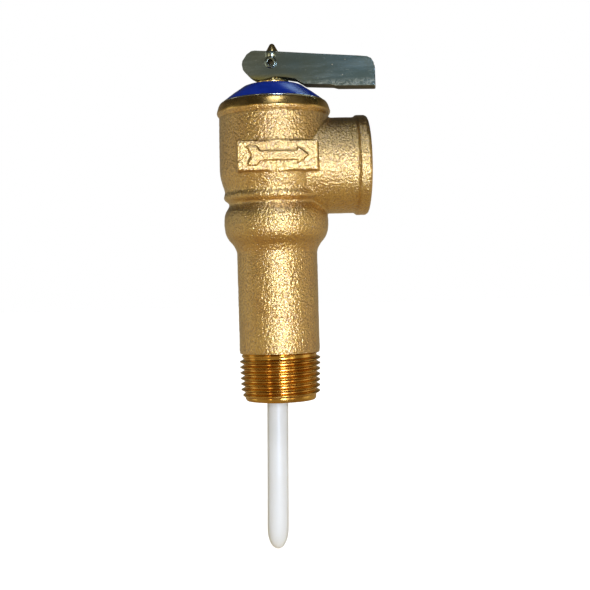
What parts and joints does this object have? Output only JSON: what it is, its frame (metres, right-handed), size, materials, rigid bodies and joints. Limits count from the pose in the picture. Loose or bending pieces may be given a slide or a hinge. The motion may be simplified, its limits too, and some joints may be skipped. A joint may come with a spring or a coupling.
{
  "type": "temperature and pressure relief valve",
  "caption": "Cast bronze 3/4 inch relief valve with extended threaded shank, side outlet, test lever on a sprung stem and a white thermostat probe.",
  "frame": {"origin": "centre of the inlet thread's end face, on the valve's axis", "axes": "+Z along the valve's axis towards the test lever, +X out of the outlet along the flow, -Y is the side with the flow arrow"},
  "size_m": [0.052, 0.0373, 0.1653],
  "materials": {
    "cast_bronze": "as-cast, fine sand grain",
    "machined_brass": "turned, bright",
    "zinc_steel": "zinc plated, fine scratches",
    "spring_steel": "drawn wire, satin",
    "blue_enamel": "glossy baked enamel",
    "white_polymer": "smooth satin coating",
    "black_rubber": "matt",
    "copper": "drawn copper, bright",
    "wax": "matt",
    "gasket_fibre": "matt fibre"
  },
  "bodies": {
    "valve": {"body": "cast_bronze", "bonnet_gasket": "gasket_fibre", "bonnet": "machined_brass", "label_plate": "blue_enamel", "stem_bushing": "machined_brass", "stem_seal": "black_rubber", "spring": "spring_steel", "thermostat_spider": "machined_brass", "retaining_ring": "spring_steel", "thermostat_head": "machined_brass", "thermostat_tube": "copper", "probe_sheath": "white_polymer", "wax_charge": "wax", "rod_seal": "black_rubber"},
    "rod": {"push_rod": "spring_steel"},
    "disc": {"disc_holder": "machined_brass", "seat_washer": "black_rubber", "disc_screw": "machined_brass", "stem_snap_ring": "spring_steel"},
    "stem": {"stem": "machined_brass"},
    "lever": {"lever": "zinc_steel", "lever_pin": "zinc_steel"}
  },
  "joints": [
    {"name": "rod_extend", "type": "slide", "parent": "valve", "child": "rod", "axis": [0.0236, 0, 0.9997], "range_m": [0, 0.001]},
    {"name": "stem_lift", "type": "slide", "parent": "valve", "child": "disc", "axis": [0, 0, 1], "range_m": [0, 0.00519], "deforming": ["spring"]},
    {"name": "stem_swivel", "type": "hinge", "parent": "disc", "child": "stem", "pos_m": [0, 0, 0.0663], "axis": [0, 0, 1], "continuous": true},
    {"name": "lever_turn", "type": "hinge", "parent": "stem", "child": "lever", "pos_m": [0, 0, 0.1098], "axis": [-0.2079, -0.9781, 0], "range_deg": [0, 90]}
  ],
  "couplings": [
    {"joint": "stem_lift", "follows": "lever_turn", "m_per_rad": 0.0033}
  ]
}
